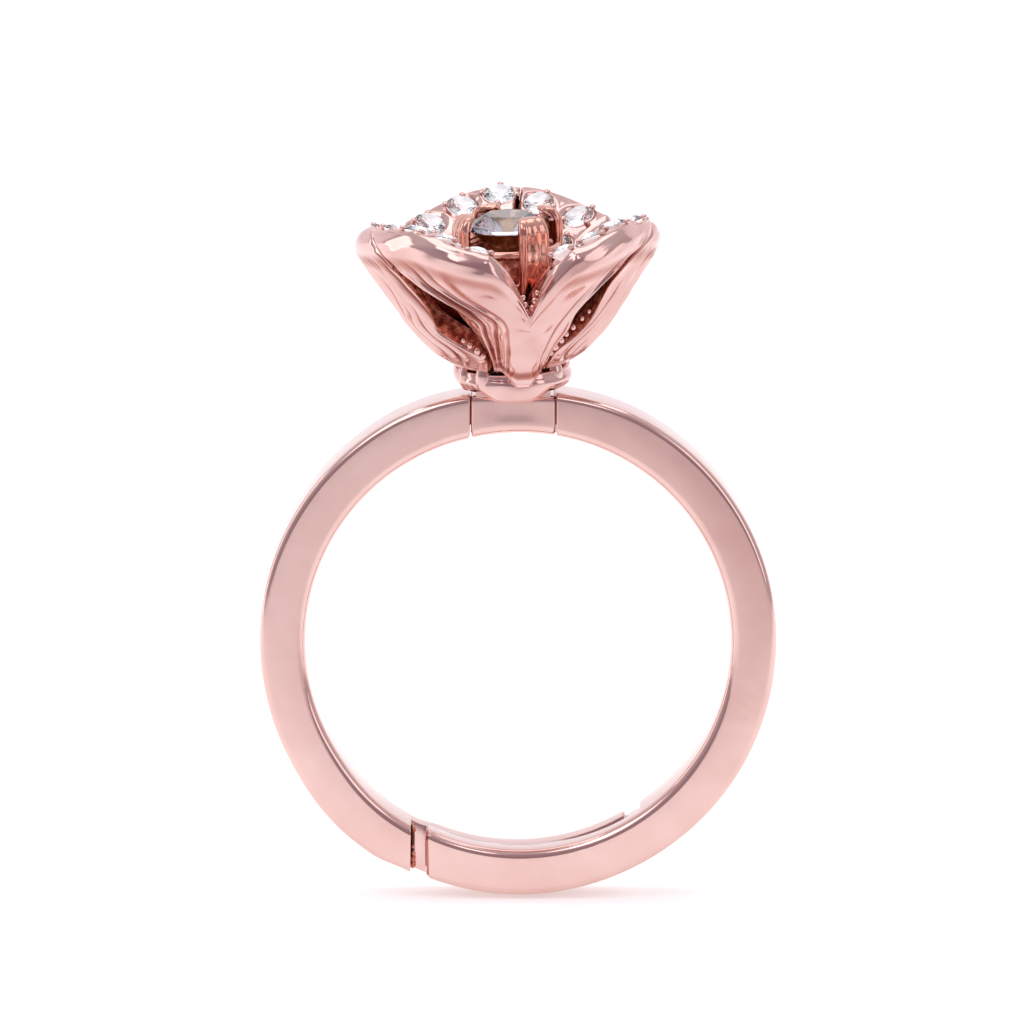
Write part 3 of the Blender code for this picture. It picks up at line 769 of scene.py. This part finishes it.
def make_petal(name):
    axis = PETAL_AXES_DEG[name]
    steps = 240
    per_span = 9
    s = np.linspace(-1.0, 1.0, steps + 1)
    sides = np.sign(s) * (1.0 - (1.0 - np.abs(s)) ** 1.25)
    sides = 0.5 * sides + 0.5 * s
    under, deck = petal_rows(name, sides)
    loop = np.concatenate([under, deck[:, ::-1]], axis=1)
    # The side edges are rounded by drawing each cut in towards its own middle line.
    half = (under + deck) / 2
    middle = np.concatenate([half, half[:, ::-1]], axis=1)
    to_edge = ((np.abs(sides) - 0.95) / 0.05).clip(0.0, 1.0)
    close = 0.25 + 0.75 * np.sqrt(np.clip(1.0 - to_edge**2, 0.0, 1.0))
    loop = middle + (loop - middle) * close[:, None, None]
    dense = closed_spline(loop, per_span)
    # kf is the section number: up the underside and back down the deck.
    count = len(UNDERSIDE)
    kf_loop = np.concatenate([np.arange(count), np.arange(count - 1, -1, -1)]).astype(float)
    index = np.arange(dense.shape[1]) / per_span
    kf = np.interp(index, np.arange(2 * count + 1), np.append(kf_loop, 0.0))
    on_under = index <= UNDERSIDE_END
    w = np.broadcast_to(sides[:, None], dense.shape[:2])
    kf2 = np.broadcast_to(kf[None, :], dense.shape[:2])
    relief, crease_shade_amount = petal_relief(kf2, w, dense[:, :, 2], FOLDS[name])
    relief = relief * on_under[None, :]
    crease_shade_amount = crease_shade_amount * on_under[None, :]
    lean = smoothstep(1.0, 9.5, kf2)
    dense[:, :, 0] += relief * mix(0.72, 1.0, lean)
    dense[:, :, 1] -= relief * mix(0.72, 0.0, lean)
    a = np.radians(axis + dense[:, :, 2])
    r = dense[:, :, 0]
    points = np.stack([r * np.cos(a), r * np.sin(a), dense[:, :, 1]], axis=2)
    flat = moved(points.reshape(-1, 3), FLOWER)
    on_deck = np.broadcast_to((index > DECK_START)[None, :], dense.shape[:2]).reshape(-1)
    # Each stone's seat is pressed into the deck, with a thin raised lip.
    for _, stone_r, radius, psi in pave_seats(name):
        m = stone_matrix(name, radius, psi)
        local = moved(flat, m.inverted())
        away = np.hypot(local[:, 0], local[:, 1])
        down = SEAT_DEPTH * (1.0 - smoothstep(0.55 * stone_r, stone_r + 0.05, away))
        lip = SEAT_LIP * np.exp(-(((away - stone_r - 0.11) / 0.07) ** 2))
        near = on_deck & (np.abs(local[:, 2]) < 0.6) & (away < 1.0)
        up = np.array(m)[:3, 2]
        flat = flat + np.where(near, lip - down, 0.0)[:, None] * up[None, :]
    faces = ring_faces(steps + 1, dense.shape[1])
    petal = add_mesh("petal_" + name + "_plated", flat, faces, PETAL_METAL, None)
    # The painted shade of the creases is stored on the points, for the plating to darken by.
    painted_crease_shade = petal.data.attributes.new("painted_crease_shade", "FLOAT", "POINT")
    painted_crease_shade.data.foreach_set("value", np.clip(crease_shade_amount, 0.0, 1.0).reshape(-1).astype(np.float32))
    # The cut sides below the rim take the rough metal with painted shade and painted reddish
    # reflections.
    petal.data.materials.append(SHADE_ROUGH_METAL)
    side_shade_mask = (np.abs(w) > 0.965) & (kf2 > 1.0) & (kf2 < 7.6)
    side_shade_mask |= (~on_under[None, :]) & (np.abs(w) > 0.80) & (kf2 < 4.5)
    side_shade_mask = side_shade_mask.reshape(-1)
    for face in petal.data.polygons:
        if all(side_shade_mask[i] for i in face.vertices):
            face.material_index = 1
    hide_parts("petal_" + name)
    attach(petal, "head")


# Shot left by the casting, on the flower: angle, radius, height and size.
OPENING_SHOT = (
    (248.0, 3.58, 1.62, 0.15), (244.0, 3.74, 1.86, 0.13), (251.0, 3.42, 1.38, 0.12),
    (246.5, 3.40, 1.34, 0.11), (241.0, 3.90, 2.08, 0.10), (300.0, 3.62, 1.66, 0.15),
    (303.0, 3.80, 1.94, 0.13), (298.0, 3.46, 1.40, 0.12), (305.0, 3.98, 2.20, 0.11),
    (308.0, 4.16, 2.48, 0.12), (312.0, 4.38, 2.82, 0.10), (315.0, 4.56, 3.10, 0.09),
)
# Cast curls up the front petal's notch: share of the way up, side and size.
NOTCH_CURLS = (
    (0.02, 1, 0.10), (0.14, -1, 0.12), (0.28, 1, 0.13), (0.42, -1, 0.12), (0.55, 1, 0.12),
    (0.70, -1, 0.10), (0.84, 1, 0.10),
)
CASTING_SQUASH = 1.2
STONE_SPIN_DEG = {"front": 5.0, "back_left": 17.0, "back_right": 31.0}


def brilliant_mesh(radius, crown, pavilion, table=0.56):
    """Round brilliant: table, star, kite, upper and lower girdle and pavilion main facets."""
    girdle = 0.035 * radius
    verts = [(0.0, 0.0, -girdle - pavilion)]
    eighth = math.tau / 8

    def ring(count, r, z, offset):
        start = len(verts)
        for k in range(count):
            a = eighth * offset + math.tau * k / count
            verts.append((r * math.cos(a), r * math.sin(a), z))
        return start

    low = ring(8, 0.22 * radius, -girdle - pavilion * 0.80, 0.5)
    g0 = ring(16, radius, -girdle, 0.0)
    g1 = ring(16, radius, girdle, 0.0)
    kite = ring(8, 0.80 * radius, girdle + crown * 0.58, 0.5)
    top = ring(8, table * radius, girdle + crown, 0.0)
    faces = []
    for k in range(8):
        n = (k + 1) % 8
        e0 = 2 * k
        e1 = 2 * k + 1
        e2 = (2 * k + 2) % 16
        faces.append((0, low + k, g0 + e0, low + (k - 1) % 8))
        faces.append((low + k, g0 + e1, g0 + e0))
        faces.append((low + k, g0 + e2, g0 + e1))
        for a, b in ((e0, e1), (e1, e2)):
            faces.append((g0 + a, g0 + b, g1 + b, g1 + a))
        faces.append((g1 + e0, g1 + e1, kite + k))
        faces.append((g1 + e1, g1 + e2, kite + k))
        faces.append((kite + k, top + n, top + k))
        faces.append((g1 + e0, kite + k, top + k, kite + (k - 1) % 8))
    faces.append(tuple(top + k for k in range(8)))
    return np.array(verts), faces


def make_pave(name):
    """Small stones of one petal, with the foil behind them and the beads that hold them."""
    beads = Pile()
    cups = Pile()
    for index, (number, stone_r, radius, psi) in enumerate(pave_seats(name)):
        verts, faces = brilliant_mesh(stone_r, 0.20, 0.33)
        spin = math.radians(STONE_SPIN_DEG[name] * (index + 1))
        m = stone_matrix(name, radius, psi, 0.02) @ Matrix.Rotation(spin, 4, "Z")
        stone = add_mesh("crystal_" + name + "_" + number, verts, faces, CLEAR, 1.0, m)
        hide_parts("stone_" + name + "_" + number)
        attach(stone, "head")
        edge = stone_r + 0.015
        cup, cup_faces = lathe([
            (0.10, -0.40), (stone_r * 0.98, -0.06), (edge, -0.02), (edge, -0.06), (0.10, -0.44)], 24)
        cups.add(moved(cup, m), cup_faces)
        # Four cut beads hold each stone down.
        for k in range(4):
            a = math.radians(45.0 + 90.0 * k + 9.0 * index)
            spot = m @ Matrix.Rotation(-spin, 4, "Z") @ Matrix.Translation(
                ((stone_r + 0.06) * math.cos(a), (stone_r + 0.06) * math.sin(a), 0.0))
            beads.add_bead(spot, 0.15, 0.8)
    if name == "front":
        for t, side, size in NOTCH_CURLS:
            angle = PETAL_AXES_DEG[name] + side * (0.8 + 3.2 * t)
            spot = flower_spot(angle, 4.52 + 0.42 * t, 3.22 + 1.20 * t)
            beads.add_bead(spot, size, CASTING_SQUASH)
        # Shot stands in the foot of each side opening.
        for angle, r, z, size in OPENING_SHOT:
            beads.add_bead(flower_spot(angle, r, z), size, CASTING_SQUASH)
    for label, pile, material, slot in (
        ("beads_", beads, PETAL_METAL, "petal_plating"),
        ("foil_cups_", cups, SILVER_FOIL, "clear_crystal"),
    ):
        obj = add_mesh(label + name, pile.verts, pile.faces, material, 50.0)
        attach(obj, "head")


# ---------------------------------------------------------------- collar and claws

COLLAR_PROFILE = (
    (1.60, -0.55), (1.96, -0.55), (2.12, -0.51), (2.25, -0.42), (2.35, -0.28), (2.40, -0.12),
    (2.37, 0.02), (2.30, 0.13), (2.27, 0.25), (2.20, 0.34), (0.62, 0.34),
)
FRONT_LIP = 0.34
REAR_LIP = 0.50
# Lumps between the petals' feet: angle on the flower, half width, half height and z.
NECK_LUMP_R = 2.06
NECK_LUMPS = (
    (237.0, 0.36, 0.62, 0.10), (206.0, 0.30, 0.55, 0.02), (172.0, 0.34, 0.60, 0.06),
    (130.0, 0.32, 0.58, 0.04), (88.0, 0.35, 0.60, 0.08), (46.0, 0.32, 0.56, 0.04),
    (8.0, 0.33, 0.60, 0.06), (326.0, 0.40, 0.66, 0.12), (302.0, 0.26, 0.48, 0.00),
)
NECK_SOLDER = ((-1.78, -1.42, 10.15), (1.26, 1.42, 10.62))


def make_collar():
    profile = open_spline(COLLAR_PROFILE, 5)
    sides = 180
    rows = []
    for r, z in profile:
        for k in range(sides):
            a = math.tau * k / sides
            flute = 0.04 * (0.5 + 0.5 * math.cos(9.0 * a + 0.6)) * float(smoothstep(-0.30, 0.0, z))
            fluted_r = r - flute * float(r > 1.8)
            # The bowl hangs down over the front and rear of the bridge.
            at_ends = smoothstep(0.74, 0.98, abs(math.sin(a)))
            lip = float(at_ends * (1.0 - smoothstep(-0.52, 0.0, z)))
            lip *= FRONT_LIP if math.sin(a) < 0.0 else REAR_LIP
            rows.append((fluted_r * math.cos(a), fluted_r * math.sin(a), z - lip * float(r > 1.5)))
    lumps = Pile()
    for angle, wide, tall, z in NECK_LUMPS:
        lumps.add_bead(flower_spot(angle, NECK_LUMP_R, z), wide, tall / wide, 24, 14)
    # Solder fills the joint between the collar and the bridge.
    lumps.add(*block(*NECK_SOLDER))
    webs = add_mesh("neck_webs", lumps.verts, lumps.faces, PETAL_METAL, 60.0)
    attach(webs, "head")
    collar = add_mesh("collar_plated", rows, ring_faces(len(profile), sides), PETAL_METAL, 50.0,
                      FLOWER @ Matrix.Translation((COLLAR_SHIFT_X, 0.0, 0.0)))
    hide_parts("petal_collar")
    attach(collar, "head")


# Claw from foot to tip: radius, height, half thickness, half width and lean in degrees.
CLAW_PATH = (
    (1.15, 2.30, 0.26, 0.45, 24.0), (1.62, 3.25, 0.28, 0.58, 22.0), (1.93, 4.25, 0.27, 0.66, 14.0),
    (2.03, 5.15, 0.26, 0.68, 3.0), (2.04, 5.90, 0.27, 0.68, -4.0), (1.99, 6.24, 0.27, 0.65, -22.0),
    (1.84, 6.49, 0.22, 0.57, -52.0), (1.64, 6.58, 0.14, 0.43, -78.0),
    (1.51, 6.58, 0.05, 0.22, -88.0),
)
BASKET_CUP = (
    (0.60, 0.44), (0.76, 0.44), (0.80, 1.20), (0.96, 2.10), (1.20, 2.60), (1.36, 2.95),
    (1.46, 3.25), (1.38, 3.36), (1.10, 3.20), (0.45, 2.60),
)
BASKET_LINING = (
    (0.50, 3.00), (1.25, 3.25), (1.58, 3.85), (1.74, 4.50), (1.72, 5.10), (1.64, 5.12),
    (1.45, 4.20), (0.50, 3.20),
)
# Wires round the basket: height, ring radius and wire radius.
GALLERY_WIRES = ((5.20, 1.93, 0.20), (3.90, 1.74, 0.13))
CUP_BEADS = 20
CUP_BEAD_SIZE = 0.15
CUP_BEAD_R = 1.52
CUP_BEAD_Z = 3.30
CENTER_FOIL = (
    (0.06, -1.10), (0.98, -0.52), (1.57, -0.10), (1.64, -0.10), (1.03, -0.60), (0.06, -1.20),
)


def claw_mesh():
    """Claw with two lengthwise grooves and a rounded, folded tip."""
    path = open_spline(CLAW_PATH, 8)
    outline = []
    count = 40
    for k in range(count):
        a = -math.tau * k / count
        y = math.copysign(abs(math.cos(a)) ** 0.75, math.cos(a))
        t = math.copysign(abs(math.sin(a)) ** 0.65, math.sin(a))
        if t > 0.3:
            t -= 0.20 * (math.exp(-(((abs(y) - 0.36) / 0.15) ** 2)))
        outline.append((y, t))
    rows = []
    for r, z, thick, wide, lean in path:
        a = math.radians(lean)
        for y, t in outline:
            rows.append((r + thick * t * math.cos(a), wide * y, z - thick * t * math.sin(a)))
    return np.array(rows), ring_faces(len(path), count)


def make_setting():
    place = FLOWER @ Matrix.Translation((SETTING_SHIFT_X, 0.0, 0.0))
    pile = Pile()
    pile.add(*lathe(open_spline(BASKET_CUP, 4), 96))
    claw, claw_faces = claw_mesh()
    for angle in CLAW_AXES_DEG:
        pile.add(moved(claw, Matrix.Rotation(math.radians(angle), 4, "Z")), claw_faces)
    for z, ring_r, wire in GALLERY_WIRES:
        pile.add(*torus(ring_r, wire, z, 120, 18))
    for k in range(CUP_BEADS):
        a = math.tau * (k + 0.5) / CUP_BEADS
        spot = Matrix.Translation((CUP_BEAD_R * math.cos(a), CUP_BEAD_R * math.sin(a), CUP_BEAD_Z))
        pile.add_bead(spot, CUP_BEAD_SIZE)
    # A lining inside the basket, in rough metal with painted shade and painted reddish reflections.
    verts, faces = lathe(open_spline(BASKET_LINING, 4), 96)
    lining = add_mesh("cup_lining_painted_shade", verts, faces, SHADE_ROUGH_METAL, 50.0, place)
    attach(lining, "head")
    setting = add_mesh("claw_basket_plated", pile.verts, pile.faces, CLAW_PAINTED_SHADE_METAL, 50.0, place)
    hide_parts("claw_setting")
    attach(setting, "head")

    verts, faces = brilliant_mesh(CENTER_STONE_R, 0.46, 0.98, 0.60)
    seat = place @ Matrix.Translation((0.0, 0.0, CENTER_GIRDLE_Z - 0.04))
    stone = add_mesh("center_crystal_cut", verts, faces, CENTER, 1.0, seat)
    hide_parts("center_stone")
    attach(stone, "head")
    verts, faces = lathe(CENTER_FOIL, 64)
    back = add_mesh("center_foil_cup", verts, faces, GOLD_FOIL, 40.0, seat)
    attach(back, "head")


# ---------------------------------------------------------------- stage, light, camera

FLOOR_Z = -10.70
FLOOR_HALF = 900.0
BACKDROP_TOP = 700.0
SWEEP_START_Y = 300.0
SWEEP_R = 250.0
SWEEP_STEPS = 24
FLOOR_GLOW = 0.40


def make_stage():
    """Pale floor that sweeps up into a backdrop."""
    profile = [(-FLOOR_HALF, FLOOR_Z), (SWEEP_START_Y, FLOOR_Z)]
    for k in range(1, SWEEP_STEPS + 1):
        a = math.pi / 2 * k / SWEEP_STEPS
        y = SWEEP_START_Y + SWEEP_R * math.sin(a)
        profile.append((y, FLOOR_Z + SWEEP_R * (1 - math.cos(a))))
    profile.append((SWEEP_START_Y + SWEEP_R, BACKDROP_TOP))
    verts = []
    for y, z in profile:
        verts.append((-FLOOR_HALF, y, z))
        verts.append((FLOOR_HALF, y, z))
    faces = [(2 * i, 2 * i + 1, 2 * i + 3, 2 * i + 2) for i in range(len(profile) - 1)]
    mat, tree, shader = nodes_of("studio_paper")
    coords = tree.nodes.new("ShaderNodeTexCoord").outputs["Object"]
    fibre = noise(tree, 40.0, 3.0, coords)
    stops = [(0.3, (0.90, 0.90, 0.90, 1)), (0.7, (0.94, 0.94, 0.94, 1))]
    tint = ramp(tree, fibre.outputs["Fac"], stops)
    shader.inputs["Roughness"].default_value = 0.9
    split = tree.nodes.new("ShaderNodeSeparateXYZ")
    tree.links.new(coords, split.inputs["Vector"])
    # A painted shade patch: a dimmer, pinker area of the floor at the front right, nearer than the
    # camera's view reaches, tints what the band reflects.
    floor_shade_patch = tree.nodes.new("ShaderNodeMath")
    floor_shade_patch.operation = "MULTIPLY"
    ahead = remap(tree, split.outputs["Y"], -0.034, -0.300, 0.0, 1.0)
    reach = ramp(tree, ahead, [(0.0, BLACK), (0.10, WHITE), (0.5, WHITE), (1.0, BLACK)])
    rightward = remap(tree, split.outputs["X"], -0.012, 0.012, 0.0, 1.0)
    tree.links.new(rightward, floor_shade_patch.inputs[0])
    tree.links.new(reach.outputs["Color"], floor_shade_patch.inputs[1])
    dim = ramp(tree, floor_shade_patch.outputs["Value"], [(0.0, WHITE), (1.0, (0.84, 0.75, 0.75, 1))])
    paper = multiply(tree, tint.outputs["Color"], dim.outputs["Color"])
    tree.links.new(paper, shader.inputs["Base Color"])
    # The paper glows behind the ring and falls dim towards the room in front.
    along = remap(tree, split.outputs["Y"], -0.150, 0.010, 0.0, 1.0)
    glow = ramp(tree, along, [(0.0, BLACK), (0.45, (0.14, 0.135, 0.14, 1)), (1.0, WHITE)])
    tree.links.new(glow.outputs["Color"], shader.inputs["Emission Color"])
    shader.inputs["Emission Strength"].default_value = FLOOR_GLOW
    add_mesh("studio_sweep", verts, faces, mat, None)


# Soft lights: name, place, what they point at, two sides and power in watts.
LIGHTS = (
    ("key_soft", (-150.0, -180.0, 260.0), (0.0, 0.0, 4.0), 200.0, 160.0, 0.16),
    ("fill_soft", (240.0, -160.0, 120.0), (0.0, 0.0, 4.0), 120.0, 220.0, 0.08),
    ("top_soft", (0.0, 40.0, 300.0), (0.0, 0.0, 4.0), 300.0, 200.0, 0.20),
    ("spark", (60.0, -220.0, 210.0), (0.0, 0.0, 16.0), 60.0, 60.0, 0.02),
    ("rim_left", (-260.0, 60.0, 60.0), (0.0, 0.0, 4.0), 60.0, 220.0, 0.06),
)
WORLD_STRENGTH = 0.82


def area_light(name, location, target, size, size_y, power):
    lamp = bpy.data.lights.new(name, "AREA")
    lamp.shape = "RECTANGLE"
    lamp.size = size * MM
    lamp.size_y = size_y * MM
    lamp.energy = power
    obj = bpy.data.objects.new(name, lamp)
    spot = Vector(location) * MM
    obj.location = spot
    obj.rotation_euler = (Vector(target) * MM - spot).to_track_quat("-Z", "Y").to_euler()
    bpy.context.scene.collection.objects.link(obj)


def make_light():
    world = bpy.data.worlds.new("studio")
    bpy.context.scene.world = world
    world.use_nodes = True
    tree = world.node_tree
    back = tree.nodes["Background"]
    coords = tree.nodes.new("ShaderNodeTexCoord").outputs["Generated"]
    split = tree.nodes.new("ShaderNodeSeparateXYZ")
    tree.links.new(coords, split.inputs["Vector"])
    sky = ramp(tree, split.outputs["Z"], [
        (0.0, (0.66, 0.63, 0.65, 1)), (0.35, (0.70, 0.68, 0.71, 1)), (0.70, (0.80, 0.79, 0.83, 1)),
        (1.0, (0.96, 0.95, 1.0, 1))])
    # The side the camera stands on is a dim room.
    depth = remap(tree, split.outputs["Y"], -1.0, 1.0, 0.0, 1.0)
    ahead = ramp(tree, depth, [
        (0.0, (0.62, 0.51, 0.57, 1)), (0.14, (0.66, 0.56, 0.62, 1)), (0.30, (0.86, 0.80, 0.87, 1)),
        (0.5, WHITE)])
    room = multiply(tree, sky.outputs["Color"], ahead.outputs["Color"])
    tree.links.new(room, back.inputs["Color"])
    back.inputs["Strength"].default_value = WORLD_STRENGTH
    for light in LIGHTS:
        area_light(*light)


CAMERA_ELEVATION_DEG = 9.0
CAMERA_DISTANCE = 380.0
VIEW_WIDTH = 41.97
SENSOR_WIDTH = 36.0
LOOK_AT = (-0.31, 0.0, 5.19)


def make_camera():
    data = bpy.data.cameras.new("photo_view")
    data.sensor_width = SENSOR_WIDTH
    data.lens = SENSOR_WIDTH * CAMERA_DISTANCE / VIEW_WIDTH
    data.clip_start = 0.01
    data.clip_end = 10.0
    cam = bpy.data.objects.new("photo_view", data)
    e = math.radians(CAMERA_ELEVATION_DEG)
    target = Vector(LOOK_AT) * MM
    cam.location = target + Vector((0.0, -math.cos(e), math.sin(e))) * CAMERA_DISTANCE * MM
    cam.rotation_euler = (target - cam.location).to_track_quat("-Z", "Y").to_euler()
    bpy.context.scene.collection.objects.link(cam)
    bpy.context.scene.camera = cam


make_shank()
make_lap_fill()
make_collar()
for petal in PETAL_AXES_DEG:
    make_petal(petal)
    make_pave(petal)
make_setting()
make_stage()
make_light()
make_camera()
bpy.context.scene.view_settings.view_transform = "Standard"
